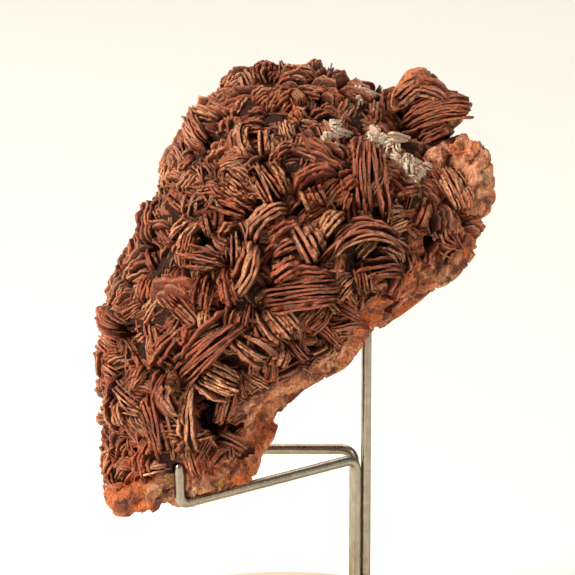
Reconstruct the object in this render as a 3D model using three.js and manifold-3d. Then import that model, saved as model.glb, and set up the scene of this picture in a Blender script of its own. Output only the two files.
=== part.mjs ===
// A cluster of crested barite on a wire display stand: round wooden foot, a tall back post and two
// hooked arms that carry the stone by its lower end. Millimetres, +Z up, +X to the right and +Y away
// from a viewer in front. The origin is the centre of the foot's underside.
import * as THREE from "three";
import { mergeVertices } from "three/addons/utils/BufferGeometryUtils.js";
import Module from "manifold-3d";

const wasm = await Module();
wasm.setup();

// Stand
const wire = 3; // stainless wire diameter
const clearance = 0.3; // gap left between touching pieces
const foot = { radius: 58, height: 16, edge: 1.5, crown: 3, socketDepth: 11 };
const post = { x: 24.4, y: 8, top: 118 };
const armHeight = 68.5; // centre line of the front arm above the table
const hookRise = 11; // hook tip above the arm's centre line
const bend = { shoulder: 4.5, hook: 3.4, steps: 3 }; // centre-line radii of the wire's bends
const frontArm = { x: 21.5, y: 6.4, tip: [-29.5, -36.8], height: armHeight };
const rearArm = { x: 21, y: 9.9, tip: [-43.3, 9.9], height: armHeight + 1.8 };

// Specimen. It is described in a frame that leans back by the angle it is usually looked down at:
// u to the right, v away from the viewer, w up. Its middle is this far above the table.
const lookDown = THREE.MathUtils.degToRad(15);
const viewDistance = 1100; // from where the front is seen, so nearer blades are placed a little further in
const middle = { x: 1.2, height: 122.5 };

// Sections of the massive barite under the crystals: height w, left and right edge, front and back face.
const sections = [
  [-63, -50, -38, -21, -15],
  [-60, -51, -22, -22, -10],
  [-55, -49, -13, -23, 6],
  [-49, -50.1, -9, -25, 18],
  [-43, -50.1, -6, -28, 20],
  [-35.5, -51.1, -5, -31, 19],
  [-28.5, -51.6, 3, -34, 17],
  [-22, -50.1, 16, -36, 14],
  [-14, -50.1, 22, -39, 11],
  [-6.5, -49.1, 31.8, -40, 9],
  [1, -47.1, 40.8, -41, 9],
  [8, -45.1, 47, -41, 10],
  [18, -39.6, 50.5, -41, 11.5],
  [28.5, -34.1, 46, -40, 11],
  [37, -29.6, 40, -37, 10],
  [44, -27.6, 36, -32, 9],
  [51.5, -22.5, 32, -25, 6],
  [57.5, -16, 18, -19, 2],
  [61, -9, 9, -15, -3],
];
const ringPoints = 16;

// Broken blocks that stand out of the slab: outline in the picture plane, front and back face, chamfer.
const blocks = [
  {
    outline: [[31, 44], [30, 53], [36.3, 62.5], [42.5, 59], [45.5, 55.5], [50, 52], [50.5, 49.5], [46, 46.5],
      [42, 42]],
    faces: [-20, -5],
    chamfer: 2.2,
  },
  {
    outline: [[38, 36], [43, 39], [47.6, 41.4], [51.5, 43], [55.4, 38.8], [57, 36.6], [56.3, 32.7],
      [57.6, 27.8], [57, 23], [54, 20.4], [49, 22.3], [44, 24.5], [38, 27]],
    faces: [-31, -13],
    chamfer: 3,
  },
  {
    outline: [[-31, -50], [-9.5, -45], [-9, -51.5], [-14, -56.5], [-28, -59.5]],
    faces: [-20, 8],
    chamfer: 2,
  },
  { outline: [[-52, -57], [-34, -55], [-33, -61], [-40, -63.5], [-50, -63.5]], faces: [-25, -6], chamfer: 2 },
  {
    outline: [[40, 20], [54.5, 20], [53.5, 13.4], [50.8, 7.2], [46.8, 3.5], [42.5, 0.7], [34, -1]],
    faces: [-29, 2],
    chamfer: 3,
  },
];

// Which way the uncrystallised back of the slab faces, and how far round it reaches.
const bareSide = new THREE.Vector3(0.6, 0.62, -0.5).normalize();
const bareReach = 0.12;

// Books of crystal blades seen from the front: where the middle rim shows (u, w), the direction of the
// rims and their length, how many blades, their spacing, how far the blades are turned face-on, and how
// much the rims arch. Angles in degrees, sizes in millimetres.
const books = [
  // crown
  [-9, 64.5, 5, 13, 3, 1.8, 0, 0.05],
  [3, 64, -5, 12, 3, 1.8, 0, 0.05],
  [-17.5, 61, 48, 10, 3, 1.8, 0, 0.1],
  [13, 61.5, -22, 12, 3, 1.8, 0, 0.05],
  [-10.5, 63, 45, 8, 2, 2, 40, 0.1],
  [-6.5, 65.5, 92, 5, 3, 1.6, 0, 0],
  [-21, 56.5, 41, 16, 3, 1.9, 35, 0.2],
  [-24.5, 49.5, 44, 13, 2, 2.2, 25, 0.1],
  [-29, 43, 42, 10, 2, 2.4, -25, 0.1],
  [-18, 47.5, 84, 10, 3, 2.3, 10, 0],
  [-13.5, 53.5, 74, 10, 3, 2, -10, 0],
  [-7, 57, 18, 12, 2, 2.4, 15, 0.2],
  [-3, 55.5, 50, 14, 4, 1.6, 10, 0],
  [2, 64, 3, 14, 3, 1.8, 20, 0.25],
  [11, 60, 8, 19, 3, 1.6, 20, 0.45],
  [11.5, 53, 5, 14, 2, 2, 15, 0.45],
  [2.5, 50.5, -38, 9, 2, 2.6, 0, 0],
  [16, 58, -28, 13, 2, 2, 20, 0],
  [23, 52, -78, 11, 4, 2, 0, 0.1],
  [27.5, 52.5, -48, 15, 2, 2.2, 10, 0],
  [-22.5, 42, 35, 13, 2, 2.4, 60, 0.1],
  [-23.5, 36, -50, 14, 5, 1.5, 20, 0],
  [-12, 44, 104, 15, 2, 2.4, -45, 0.3],
  [-6.5, 43, -82, 11, 3, 1.8, 15, 0],
  [-15, 32.5, -40, 14, 6, 1.5, 10, 0],
  [-30.5, 37.5, 100, 9, 2, 2, 50, 0],
  [-32, 34, 14, 10, 2, 2, 10, 0.1],
  [-24, 30.5, -9, 18, 2, 2, 15, 0.1],
  // middle band
  [-5, 31.5, -58, 17, 6, 1.6, 5, 0],
  [9.5, 41, -35, 21, 6, 1.6, 10, 0],
  [-1, 40.5, 18, 13, 2, 1.8, 10, 0.35],
  [8.5, 33.5, 22, 18, 2, 1.8, 20, 0.3],
  [17.5, 32, 40, 9, 2, 2.2, 15, 0.1],
  [18.5, 42, 82, 11, 2, 2.4, 50, 0],
  [24.5, 34, 91, 28, 6, 1.7, 5, 0.05],
  [29, 43, -42, 17, 3, 1.8, 30, 0.1],
  [32, 45.5, -32, 14, 2, 1.8, 20, 0.15],
  [34, 33.5, 70, 12, 2, 2.4, 60, 0.1],
  [35.5, 28, 18, 13, 2, 2, -10, 0.1],
  [35.5, 57, 40, 12, 3, 1.8, 0, 0.05],
  [42, 57.5, -14, 15, 3, 1.9, 25, 0.25],
  [43.5, 51.5, 17, 22, 5, 1.7, 15, 0.1],
  [42.5, 43.5, 18, 13, 4, 1.6, 10, 0],
  [-33, 27, 38, 12, 2, 2.4, 50, 0],
  [-38, 21, 60, 12, 2, 2.2, 20, 0.1],
  [-28.5, 24.5, 60, 7, 2, 2.4, 40, 0],
  [-16, 26, -24, 16, 5, 1.7, 10, 0],
  [-8, 21, 45, 18, 2, 2.4, 15, 0.15],
  [-2, 20, 32, 14, 2, 2.4, 25, 0.1],
  [-32, 15, 50, 22, 4, 1.5, 12, 0.08],
  [-26, 9, -12, 17, 4, 1.5, 10, 0],
  [-22, 19, -72, 8, 2, 2.2, 20, 0],
  [-18.5, 17.5, 36, 8, 2, 2, 15, 0],
  [-41, 13, -45, 7, 3, 2.2, 15, 0],
  [-47, 8, 62, 9, 2, 2.2, -20, 0.1],
  [-46.5, 1.5, -6, 8, 5, 1.3, 5, 0],
  [-45, -1.5, 38, 7, 2, 2, 40, 0],
  [-34, 4, 0, 18, 2, 2.4, 66, 0.08],
  [-13.5, 6, 66, 20, 2, 2.4, 20, -0.2],
  [-19.5, -1.5, -74, 13, 2, 2.4, -20, 0.1],
  [-24.5, -3, 78, 12, 4, 1.5, 0, 0],
  [-1, 15, 17, 18, 4, 1.9, 12, 0.08],
  [-1, 5.5, 33, 13, 2, 2.4, 20, 0.05],
  [5, 0, 3, 25, 8, 1.35, 6, 0.04],
  [7.5, 26.5, -62, 10, 3, 2, 0, 0],
  [12.5, 19, 46, 11, 2, 2.2, 15, 0.05],
  [6, 13.5, -64, 16, 3, 2.6, 0, 0],
  // right side
  [22.5, 14, 14, 32, 4, 1.7, 25, 0.4],
  [27.5, 5.5, 6, 17, 3, 1.8, 15, 0.1],
  [31.5, 10.5, -28, 9, 3, 1.6, 15, 0.1],
  [36, 6, -80, 11, 3, 1.6, 10, 0.1],
  [40, 7.5, 82, 9, 2, 2.2, 30, 0],
  [45.5, 18, -62, 12, 4, 2.2, 10, 0],
  [40, 21, 68, 11, 2, 2.4, 0, 0],
  [46, 10.5, 50, 8, 2, 2, 10, 0.1],
  [44.5, 34, -56, 12, 3, 1.5, 20, 0],
  [48.5, 30, -58, 14, 4, 1.5, 20, 0],
  [52.5, 27, -60, 10, 2, 1.6, 25, 0.1],
  [27.5, 1, 30, 6, 2, 2, 20, 0.2],
  [31.5, -4, 56, 12, 4, 1.6, 20, 0],
  // left side and foot of the slab
  [-51, -6, 70, 9, 3, 2.4, 35, 0.2],
  [-45.5, -9, 62, 13, 5, 1.7, 20, 0.3],
  [-44, -15, 32, 11, 3, 1.9, 10, 0],
  [-43, -21.5, -55, 10, 3, 2.2, 25, 0.1],
  [-37, -17, 47, 22, 2, 2, 15, 0.04],
  [-32, -13, 70, 9, 2, 2.2, 40, 0],
  [-34, -24, -5, 5, 2, 2, 60, 0],
  [-24, -18, 43, 28, 5, 1.7, 14, 0.03],
  [-10, -19, -38, 17, 4, 1.9, 10, 0],
  [-2.5, -21, 72, 8, 3, 2.4, 0, 0],
  [-2, -12, -55, 16, 5, 1.8, 5, 0],
  [8, -11, 58, 13, 5, 1.7, 5, 0],
  [15.5, -15.5, 20, 9, 3, 1.8, 20, 0],
  [-52, -24, -40, 10, 5, 2, 15, 0.1],
  [-48, -31, -30, 9, 3, 2, 20, 0.1],
  [-41, -41, -81, 26, 6, 1.8, 8, 0.05],
  [-33.5, -33, -68, 12, 2, 2, 40, -0.3],
  [-30, -38.5, 89, 26, 2, 2, 20, 0.05],
  [-34, -44.5, 42, 8, 2, 2, 35, 0.1],
  [-17, -36, 88, 18, 3, 1.6, 5, 0],
  [-20, -28, -28, 16, 5, 1.9, 5, 0],
  [-20.5, -32.5, -5, 7, 1, 2, 10, 0],
  [-20, -49, 40, 10, 2, 2.2, 40, 0.1],
  [-52, -40, 88, 10, 3, 2.2, 40, 0.2],
  [-50, -49.5, 35, 8, 3, 2.2, 30, 0.1],
];
// Hollows between the books: where they open (u, w), their radius and depth. The large ones are cut here.
const pits = [
  [11.5, 52, 6, 8],
  [15.5, 17.5, 6.5, 10],
  [43.5, 14.5, 6, 9],
  [25, 8.5, 6.5, 9],
  [9.5, -11, 7, 9],
  [-20.5, -38, 8, 10],
  [-22.5, -29, 5, 8],
  [7, 23.5, 4.5, 6],
  [33.5, 46, 5, 7],
  [-24, 13, 4.5, 6],
  [-17, 8, 4, 6],
];
const largePit = 6;

// Where the massive barite shows at the front (u, w): the band along the lower right edge and the foot.
const bareZone = [
  [22, -13],
  [4, -25],
  [-11, -30],
  [-12.5, -46],
  [-20, -50],
  [-31, -53],
  [-60, -54],
  [-60, -70],
  [30, -70],
];
const bareFoot = -55;

const blockRise = 4.5;
const faceShare = 0.65;
const plate = { root: 6, most: 2, gap: 5.2, share: 0.56, thinnest: 1.6 };
const filler = { tries: 600, apart: 9.3, length: [11, 17], rise: 6.2, width: 5.5, low: -52, high: 61 };

// A closed geometry as a manifold-3d solid.
function toSolid(geometry) {
  const plain = geometry.index ? geometry.toNonIndexed() : geometry.clone();
  const bare = new THREE.BufferGeometry().setAttribute("position", plain.getAttribute("position"));
  const merged = mergeVertices(bare, 1e-3);
  return new wasm.Manifold(
    new wasm.Mesh({
      numProp: 3,
      vertProperties: merged.attributes.position.array,
      triVerts: new Uint32Array(merged.index.array),
    }),
  );
}

function toGeometry(solid) {
  const mesh = solid.getMesh();
  const positions = new Float32Array(mesh.numVert * 3);
  for (let i = 0; i < mesh.numVert; i++) {
    positions.set(mesh.vertProperties.subarray(i * mesh.numProp, i * mesh.numProp + 3), i * 3);
  }
  return new THREE.BufferGeometry()
    .setAttribute("position", new THREE.BufferAttribute(positions, 3))
    .setIndex(new THREE.BufferAttribute(mesh.triVerts, 1));
}

// A repeatable number from 0 to 1 for item i and use k.
function chance(i, k) {
  const s = Math.sin(i * 12.9898 + k * 78.233) * 43758.5453;
  return s - Math.floor(s);
}

// The slab's section at height w, between the listed ones.
function sectionAt(w) {
  const last = sections.length - 1;
  const n = sections.findIndex((s) => s[0] >= w);
  const high = n < 0 ? last : Math.max(1, n);
  const [a, b] = [sections[high - 1], sections[high]];
  const t = THREE.MathUtils.clamp((w - a[0]) / (b[0] - a[0]), 0, 1);
  const [left, right, front, back] = [1, 2, 3, 4].map((k) => THREE.MathUtils.lerp(a[k], b[k], t));
  const [halfWidth, halfDepth] = [(right - left) / 2, (back - front) / 2];
  return { u: left + halfWidth, v: front + halfDepth, halfWidth, halfDepth };
}

// A point of the slab's surface at height w and angle around its section, with a slow lumpiness.
function slabPoint(w, angle) {
  const s = sectionAt(w);
  const lump = 1 + 0.035 * Math.sin(3 * angle + 0.13 * w) + 0.025 * Math.sin(5 * angle - 0.21 * w);
  const square = (x) => Math.sign(x) * Math.abs(x) ** 0.85;
  return new THREE.Vector3(
    s.u + s.halfWidth * lump * square(Math.cos(angle)),
    s.v + s.halfDepth * lump * square(Math.sin(angle)),
    w,
  );
}

function slabNormal(w, angle) {
  const around = slabPoint(w, angle + 0.05).sub(slabPoint(w, angle - 0.05));
  const up = slabPoint(w + 3, angle).sub(slabPoint(w - 3, angle));
  return around.cross(up).normalize();
}

// The slab itself: rings joined by quads, closed by a fan at each end.
function slabGeometry() {
  const positions = [];
  const index = [];
  for (const [w] of sections) {
    for (let k = 0; k < ringPoints; k++) {
      positions.push(...slabPoint(w, (2 * Math.PI * k) / ringPoints).toArray());
    }
  }
  const rings = sections.length;
  for (let r = 0; r + 1 < rings; r++) {
    for (let k = 0; k < ringPoints; k++) {
      const a = r * ringPoints + k;
      const b = r * ringPoints + ((k + 1) % ringPoints);
      index.push(a, b, b + ringPoints, a, b + ringPoints, a + ringPoints);
    }
  }
  for (const [ring, rise, turned] of [[0, -2, true], [rings - 1, 2, false]]) {
    const s = sectionAt(sections[ring][0]);
    const tip = positions.length / 3;
    positions.push(s.u, s.v, sections[ring][0] + rise);
    for (let k = 0; k < ringPoints; k++) {
      const a = ring * ringPoints + k;
      const b = ring * ringPoints + ((k + 1) % ringPoints);
      index.push(...(turned ? [b, a, tip] : [a, b, tip]));
    }
  }
  return new THREE.BufferGeometry()
    .setAttribute("position", new THREE.Float32BufferAttribute(positions, 3))
    .setIndex(index);
}

function blockGeometry({ outline, faces: [front, back], chamfer }) {
  const shape = new THREE.Shape(outline.map(([u, w]) => new THREE.Vector2(u, w)));
  const depth = back - front - 2 * chamfer;
  const bevel = { bevelSize: chamfer, bevelThickness: chamfer, bevelOffset: -chamfer, bevelSegments: 1 };
  const block = new THREE.ExtrudeGeometry(shape, { depth, ...bevel });
  return block.rotateX(Math.PI / 2).translate(0, back - chamfer, 0);
}

// One crystal blade: a rounded crest of the given length, standing rise above z = 0 with its root below.
function bladeGeometry(length, rise, thickness, arch, n) {
  const crest = [-1, -0.5, 0.42, 1].map((t, k) => {
    const lobe = 1 - 0.15 * chance(n, k + 40);
    return new THREE.Vector2((t * length) / 2, rise * (lobe * (1 - Math.abs(t) ** 3) - 0.25 * Math.abs(t)));
  });
  const narrow = length * 0.32;
  const sides = [new THREE.Vector2(narrow, -plate.root), new THREE.Vector2(-narrow, -plate.root)];
  const outline = new THREE.Shape([...crest, ...sides].reverse());
  const geometry = new THREE.ExtrudeGeometry(outline, { depth: thickness, bevelEnabled: false });
  const p = geometry.attributes.position;
  for (let i = 0; i < p.count; i++) {
    const t = (2 * p.getX(i)) / length;
    p.setZ(i, p.getZ(i) - thickness / 2 - arch * length * (0.35 - 0.7 * t * t));
  }
  return geometry;
}

// The blades of one book, fanned a little about their root line. The frame is rim, stack and outward.
function bookSolids({ tip, rim, out, length, width, arch, rise }, n) {
  const stack = new THREE.Vector3().crossVectors(out, rim);
  const plates = THREE.MathUtils.clamp(Math.round(width / plate.gap), 1, plate.most);
  return Array.from({ length: plates }, (_, k) => {
    const place = plates > 1 ? k / (plates - 1) - 0.5 : 0;
    const thick = Math.max(plate.thinnest, (width / plates) * plate.share);
    const fan = place * 0.35;
    const drop = 1.2 * chance(n, k + 7);
    const own = length * (0.88 + 0.24 * chance(n, k + 3));
    const blade = bladeGeometry(own, rise, thick, arch, n * 7 + k);
    const outward = out.clone().multiplyScalar(Math.cos(fan)).addScaledVector(stack, Math.sin(fan));
    const side = new THREE.Vector3().crossVectors(rim, outward);
    const base = tip.clone().addScaledVector(out, -rise - drop);
    base.addScaledVector(stack, place * (width - thick));
    blade.applyMatrix4(new THREE.Matrix4().makeBasis(rim, outward, side).setPosition(base));
    return toSolid(blade);
  });
}

function inPit({ x, y, z }) {
  return y < 0 && pits.some(([u, w, radius]) => Math.hypot(x - u, z - w) < 0.8 * radius);
}

function inBareZone({ x, y, z }) {
  let inside = false;
  bareZone.forEach(([u1, w1], i) => {
    const [u2, w2] = bareZone[(i + 1) % bareZone.length];
    if (w1 > z !== w2 > z && x < u1 + ((z - w1) * (u2 - u1)) / (w2 - w1)) inside = !inside;
  });
  return z < bareFoot || (inside && y < 0);
}

// An egg-shaped hollow that opens at the slab's front.
function pitGeometry([u, w, radius, depth]) {
  const s = sectionAt(w);
  const t = THREE.MathUtils.clamp((u - s.u) / s.halfWidth, -0.95, 0.95);
  const front = s.v - s.halfDepth * Math.sqrt(1 - Math.abs(t) ** 2.4);
  return new THREE.IcosahedronGeometry(1, 1).scale(radius, depth, radius).translate(u, front, w);
}

// The front of the blocks that stand at u, w, if any.
function blockFront(u, w) {
  const fronts = blocks.filter(({ outline }) => {
    const [us, ws] = [outline.map((p) => p[0]), outline.map((p) => p[1])];
    return u > Math.min(...us) && u < Math.max(...us) && w > Math.min(...ws) && w < Math.max(...ws);
  });
  return Math.min(Infinity, ...fronts.map((block) => block.faces[0]));
}

// A listed book: its rim stands in front of the stone where it is seen, its blades run back into it.
function listedBook([u, w, angle, length, blades, spacing, face, arch]) {
  const s = sectionAt(w);
  const t = THREE.MathUtils.clamp((u - s.u) / s.halfWidth, -1, 1);
  const round = Math.sqrt(1 - Math.abs(t) ** 2.4);
  const slabFront = s.v - s.halfDepth * round;
  const onBlock = blockFront(u, w) < slabFront;
  const bulge = onBlock ? 1 : round;
  const rise = Math.min(onBlock ? blockRise : 9, 4 + length * 0.35);
  const v = (onBlock ? blockFront(u, w) : slabFront) - rise * (0.3 + 0.7 * bulge);
  const tip = new THREE.Vector3(u, 0, w).multiplyScalar(1 + v / viewDistance).setY(v);
  const facing = slabNormal(THREE.MathUtils.clamp(w, -58, 57), Math.atan2(-bulge, t));
  const normal = onBlock ? new THREE.Vector3(0, -1, 0) : facing;
  const out = normal.multiplyScalar(0.8).add(new THREE.Vector3(0, -0.7, 0)).normalize();
  const a = THREE.MathUtils.degToRad(angle);
  const rim = new THREE.Vector3(Math.cos(a), 0, Math.sin(a));
  rim.addScaledVector(out, -rim.dot(out)).normalize();
  out.applyAxisAngle(rim, THREE.MathUtils.degToRad(-faceShare * face));
  return { tip, rim, out, length, width: blades * spacing, arch, rise };
}

// A book of the fill, placed by the golden angle, or nothing on the bare side.
function fillBook(i) {
  const w = THREE.MathUtils.lerp(filler.low, filler.high, (i + 0.5) / filler.tries);
  const angle = i * 2.39996;
  const normal = slabNormal(THREE.MathUtils.clamp(w, -57, 56), angle);
  if (normal.dot(bareSide) > bareReach) return null;
  const level = new THREE.Vector3(0, 0, 1).cross(normal).normalize();
  const rim = level.applyAxisAngle(normal, Math.PI * chance(i, 1));
  const out = normal.clone().applyAxisAngle(rim, 0.8 * (chance(i, 2) - 0.5));
  const length = THREE.MathUtils.lerp(...filler.length, chance(i, 3));
  const tip = slabPoint(w, angle).addScaledVector(out, filler.rise);
  return { tip, rim, out, length, width: filler.width, arch: 0.25 * (chance(i, 5) - 0.3), rise: filler.rise };
}

// How far a point stands from a book's rim.
function rimDistance({ tip, rim, length }, point) {
  const reach = 0.4 * length;
  const along = THREE.MathUtils.clamp(point.clone().sub(tip).dot(rim), -reach, reach);
  return tip.clone().addScaledVector(rim, along).distanceTo(point);
}

// All books: the listed ones, then fill wherever none stands near.
function allBooks() {
  const kept = books.map(listedBook);
  for (let i = 0; i < filler.tries; i++) {
    const book = fillBook(i);
    if (!book || inPit(book.tip) || inBareZone(book.tip)) continue;
    if (kept.every((other) => rimDistance(other, book.tip) > filler.apart)) kept.push(book);
  }
  return kept;
}

// A route through straight runs and rounded corners, with a station only where the wire turns.
class Route extends THREE.Curve {
  constructor(corners, radii) {
    super();
    this.stations = [corners[0]];
    corners.slice(1, -1).forEach((corner, i) => {
      const before = corners[i].clone().sub(corner).normalize();
      const after = corners[i + 2].clone().sub(corner).normalize();
      const reach = radii[i] / Math.tan(before.angleTo(after) / 2);
      const start = corner.clone().addScaledVector(before, reach);
      const end = corner.clone().addScaledVector(after, reach);
      this.stations.push(...new THREE.QuadraticBezierCurve3(start, corner, end).getPoints(bend.steps));
    });
    this.stations.push(corners.at(-1));
    this.steps = this.stations.length - 1;
  }

  getPointAt(t) {
    return this.stations[Math.round(t * this.steps)].clone();
  }

  getTangentAt(t) {
    const i = Math.round(t * this.steps);
    const [before, after] = [this.stations[Math.max(i - 1, 0)], this.stations[Math.min(i + 1, this.steps)]];
    return after.clone().sub(before).normalize();
  }
}

const socketFloor = foot.height - foot.socketDepth + clearance;

function postRoute() {
  const ends = [socketFloor, post.top].map((z) => new THREE.Vector3(post.x, post.y, z));
  return new Route(ends, []);
}

// One arm's wire: up from the foot, out along its arm and up into the hook.
function armRoute({ x, y, tip: [tx, ty], height }) {
  const corners = [[x, y, socketFloor], [x, y, height], [tx, ty, height], [tx, ty, height + hookRise]];
  return new Route(corners.map((c) => new THREE.Vector3(...c)), [bend.shoulder, bend.hook]);
}

// A wire of the given radius along a route, its top end domed.
function wireSolid(route, radius) {
  const sides = 10;
  const turns = Array.from({ length: sides }, (_, k) => (2 * Math.PI * k) / sides);
  const points = turns.map((a) => new THREE.Vector2(radius * Math.cos(a), radius * Math.sin(a)));
  const section = new THREE.Shape(points);
  const tube = new THREE.ExtrudeGeometry(section, { steps: route.steps, extrudePath: route });
  const dome = new THREE.SphereGeometry(radius * 0.985, sides, 4).rotateX(Math.PI / 2);
  return toSolid(tube).add(toSolid(dome.translate(...route.stations.at(-1).toArray())));
}

// The turned wooden foot with one socket for the bundle of three wires.
function footSolid() {
  const { radius: r, height: h, edge: e } = foot;
  const c = foot.crown;
  const profile = [[0, 0], [r - e, 0], [r, e], [r, h - c], [r - c / 3, h - c / 3], [r - c, h], [0, h]];
  const disc = new THREE.LatheGeometry(profile.map(([x, y]) => new THREE.Vector2(x, y)), 36);
  let solid = toSolid(disc.rotateX(Math.PI / 2));
  for (const { x, y } of [post, frontArm, rearArm]) {
    const radius = wire / 2 + clearance;
    const hole = new THREE.CylinderGeometry(radius, radius, 2 * foot.socketDepth, 16);
    solid = solid.subtract(toSolid(hole.rotateX(Math.PI / 2).translate(x, y, h)));
  }
  return solid;
}

function bariteSolid() {
  const hollows = pits.filter(([, , radius]) => radius >= largePit).map(pitGeometry);
  const slab = wasm.Manifold.difference([slabGeometry(), ...hollows].map(toSolid));
  const pieces = [slab, ...blocks.map(blockGeometry).map(toSolid)];
  allBooks().forEach((book, n) => pieces.push(...bookSolids(book, n)));
  const grown = toGeometry(wasm.Manifold.union(pieces));
  grown.rotateX(-lookDown).translate(middle.x, 0, middle.height);
  let stone = toSolid(grown);
  for (const route of wires) {
    stone = stone.subtract(wireSolid(route, wire / 2 + clearance));
  }
  const parts = stone.decompose().sort((a, b) => b.volume() - a.volume());
  return parts[0];
}

const finish = {
  barite: new THREE.MeshStandardMaterial({ color: 0x8a5a42, roughness: 0.8, metalness: 0 }),
  wood: new THREE.MeshStandardMaterial({ color: 0xead9bd, roughness: 0.6, metalness: 0 }),
  steel: new THREE.MeshStandardMaterial({ color: 0xb3a893, roughness: 0.3, metalness: 1 }),
};

const object = new THREE.Group();
const wires = [postRoute(), armRoute(frontArm), armRoute(rearArm)];

function addPiece(name, geometry, material) {
  const mesh = new THREE.Mesh(geometry, material);
  mesh.name = name;
  object.add(mesh);
}

addPiece("foot", toGeometry(footSolid()), finish.wood);
["back_post", "front_arm", "rear_arm"].forEach((name, i) => {
  addPiece(name, toGeometry(wireSolid(wires[i], wire / 2)), finish.steel);
});
addPiece("barite", toGeometry(bariteSolid()), finish.barite);

export default object;
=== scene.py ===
import bmesh
import bpy
import math
import numpy as np
from mathutils import Euler, Matrix, Vector, noise


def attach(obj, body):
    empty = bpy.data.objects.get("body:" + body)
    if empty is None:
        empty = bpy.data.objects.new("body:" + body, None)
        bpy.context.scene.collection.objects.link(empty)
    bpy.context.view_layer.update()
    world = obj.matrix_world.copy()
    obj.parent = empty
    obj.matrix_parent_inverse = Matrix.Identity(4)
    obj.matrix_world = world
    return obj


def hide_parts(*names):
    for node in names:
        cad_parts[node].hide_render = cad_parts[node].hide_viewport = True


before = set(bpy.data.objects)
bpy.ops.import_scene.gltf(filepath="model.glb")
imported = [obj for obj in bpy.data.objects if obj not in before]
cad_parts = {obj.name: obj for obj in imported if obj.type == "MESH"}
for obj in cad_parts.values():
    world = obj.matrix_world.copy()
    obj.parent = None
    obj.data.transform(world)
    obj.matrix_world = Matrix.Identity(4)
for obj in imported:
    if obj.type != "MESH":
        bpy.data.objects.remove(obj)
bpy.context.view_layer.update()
mm = 0.001

# The stone is described in a frame that leans back by the angle it is looked down at:
# u to the right, v away from the viewer, w up, in millimetres from a middle above the foot.
stoneFrame = {"lookDown": math.radians(15), "middleX": 1.2, "middleHeight": 122.5}
tilt = Matrix.Rotation(-stoneFrame["lookDown"], 3, "X")
tiltArray = np.array(tilt)
middle = np.array([stoneFrame["middleX"], 0.0, stoneFrame["middleHeight"]])


# A repeatable number from 0 to 1 for item i and use k.
def chance(i, k):
    s = math.sin(i * 12.9898 + k * 78.233) * 43758.5453
    return s - math.floor(s)


def lerp(a, b, t):
    return a + (b - a) * t


def clamp(x, low, high):
    return max(low, min(high, x))


def srgb(code, alpha=1.0):
    channels = [int(code[i:i + 2], 16) / 255 for i in (1, 3, 5)]
    return tuple(c / 12.92 if c <= 0.04045 else ((c + 0.055) / 1.055) ** 2.4 for c in channels) + (alpha,)


# Materials

def newMaterial(name):
    material = bpy.data.materials.new(name)
    material.use_nodes = True
    material.node_tree.nodes.clear()
    return material


# Adds a node, sets its properties and plain input values, and links the inputs given as sockets.
def node(material, kind, settings=None, **inputs):
    made = material.node_tree.nodes.new(kind)
    for key, value in (settings or {}).items():
        setattr(made, key, value)
    for key, value in inputs.items():
        numbered = key[0] == "i" and key[1:].isdigit()
        socket = made.inputs[int(key[1:]) if numbered else key.replace("_", " ")]
        if isinstance(value, bpy.types.NodeSocket):
            material.node_tree.links.new(value, socket)
        else:
            socket.default_value = value
    return made


def ramp(material, factor, stops):
    made = node(material, "ShaderNodeValToRGB", i0=factor)
    elements = made.color_ramp.elements
    while len(elements) < len(stops):
        elements.new(0.5)
    for element, (position, colour) in zip(elements, stops):
        element.position = position
        element.color = srgb(colour) if isinstance(colour, str) else (colour, colour, colour, 1)
    return made.outputs[0]


def mixColour(material, factor, a, b, blend="MIX"):
    made = node(material, "ShaderNodeMix", {"data_type": "RGBA", "blend_type": blend})
    for index, value in ((0, factor), (6, a), (7, b)):
        if isinstance(value, bpy.types.NodeSocket):
            material.node_tree.links.new(value, made.inputs[index])
        else:
            made.inputs[index].default_value = value
    return made.outputs[2]


def combined(material, operation, a, b=0.0):
    return node(material, "ShaderNodeMath", {"operation": operation}, i0=a, i1=b).outputs[0]


def attribute(material, name):
    return node(material, "ShaderNodeAttribute", {"attribute_name": name})


def noiseTexture(material, vector, scale, detail=4.0, roughness=0.55, distortion=0.0):
    return node(material, "ShaderNodeTexNoise", Vector=vector, Scale=scale, Detail=detail,
                Roughness=roughness, Distortion=distortion).outputs["Fac"]


def scaled(material, vector, factors):
    return node(material, "ShaderNodeVectorMath", {"operation": "MULTIPLY"}, i0=vector, i1=factors).outputs[0]


def bump(material, height, distance, strength=1.0, normal=None):
    made = node(material, "ShaderNodeBump", Height=height, Distance=distance, Strength=strength)
    if normal is not None:
        material.node_tree.links.new(normal, made.inputs["Normal"])
    return made.outputs[0]


def finishMaterial(material, **inputs):
    shader = node(material, "ShaderNodeBsdfPrincipled", **inputs)
    node(material, "ShaderNodeOutputMaterial", Surface=shader.outputs[0])
    return material


# The colour made lighter and darker by a pattern of 0 to 1.
def varied(material, colour, pattern, low, high):
    value = spread(material, pattern, 0.3, 0.7, low, high)
    return node(material, "ShaderNodeHueSaturation", Value=value, Color=colour).outputs[0]


# A pattern spread from one range to another.
def spread(material, pattern, low, high, first=0.0, last=1.0):
    return node(material, "ShaderNodeMapRange", i0=pattern, i1=low, i2=high, i3=first, i4=last).outputs[0]


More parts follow.
